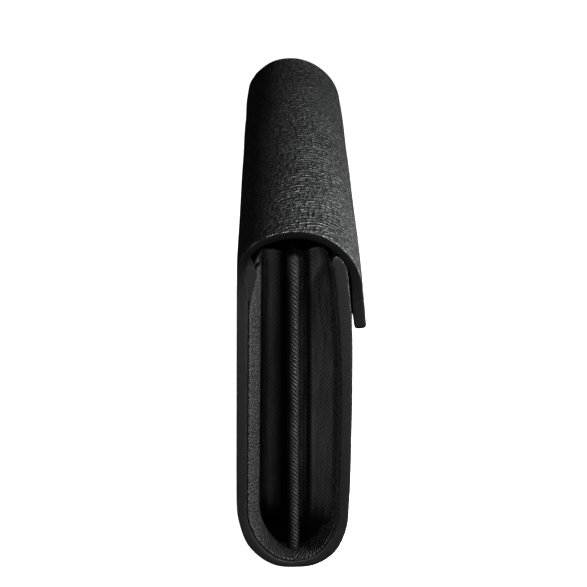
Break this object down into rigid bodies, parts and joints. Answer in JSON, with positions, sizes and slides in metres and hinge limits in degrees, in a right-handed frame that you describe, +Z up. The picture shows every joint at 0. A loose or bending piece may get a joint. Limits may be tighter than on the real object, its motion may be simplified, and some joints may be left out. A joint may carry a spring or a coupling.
{
  "type": "fountain pen case",
  "caption": "Long upright leather pen case with a divider, accordion gussets at both ends and a flap that rolls over the top and part of the front.",
  "frame": {"origin": "under the middle of the closed case: the centre of its box in plan, at the height of its lowest line", "axes": "+X along the case, +Y from the flap side (front) towards the flat back, +Z up"},
  "size_m": [0.188, 0.0336, 0.0966],
  "materials": {
    "outer_leather": "cross-grained, satin, black",
    "gusset_leather": "thin cross-grained leather, satin, black",
    "lining_leather": "smooth thin leather, matte, black",
    "board": "pressed fibre board",
    "magnet": "plated",
    "steel": "plain"
  },
  "bodies": {
    "back": {"back_leather": "outer_leather", "back_board": "board", "back_lining": "lining_leather", "left_gusset_back": "gusset_leather", "right_gusset_back": "gusset_leather"},
    "divider": {"divider_board": "board", "divider_leather": "lining_leather", "left_gusset_centre": "gusset_leather", "right_gusset_centre": "gusset_leather"},
    "front": {"front_leather": "outer_leather", "front_board": "board", "front_lining": "lining_leather", "front_keepers": "steel", "left_gusset_front": "gusset_leather", "right_gusset_front": "gusset_leather"},
    "flap_rear": {"flap_rear_leather": "outer_leather", "flap_rear_core": "board", "flap_rear_lining": "lining_leather"},
    "flap_crest": {"flap_crest_leather": "outer_leather", "flap_crest_core": "board", "flap_crest_lining": "lining_leather"},
    "flap_tip": {"flap_tip_leather": "outer_leather", "flap_tip_core": "board", "flap_tip_lining": "lining_leather", "flap_magnets": "magnet"}
  },
  "joints": [
    {"name": "flap_open", "type": "hinge", "parent": "back", "child": "flap_rear", "pos_m": [0, 0.01583, 0.0858], "axis": [-1, 0, 0], "range_deg": [0, 100]},
    {"name": "flap_crest_bend", "type": "hinge", "parent": "flap_rear", "child": "flap_crest", "pos_m": [0, 0.00108, 0.09662], "axis": [-1, 0, 0], "range_deg": [0, 40]},
    {"name": "flap_shoulder_bend", "type": "hinge", "parent": "flap_crest", "child": "flap_tip", "pos_m": [0, -0.01355, 0.08818], "axis": [-1, 0, 0], "range_deg": [0, 30]},
    {"name": "divider_tilt", "type": "hinge", "parent": "back", "child": "divider", "pos_m": [0, 0.00148, 0], "axis": [1, 0, 0], "range_deg": [0, 4]},
    {"name": "front_open", "type": "hinge", "parent": "divider", "child": "front", "pos_m": [0, 0.00148, 0], "axis": [1, 0, 0], "range_deg": [0, 4]}
  ],
  "couplings": [
    {"joint": "flap_crest_bend", "follows": "flap_open", "ratio": 0.4},
    {"joint": "flap_shoulder_bend", "follows": "flap_open", "ratio": 0.3},
    {"joint": "divider_tilt", "follows": "flap_open", "ratio": 0.04},
    {"joint": "front_open", "follows": "flap_open", "ratio": 0.04}
  ]
}
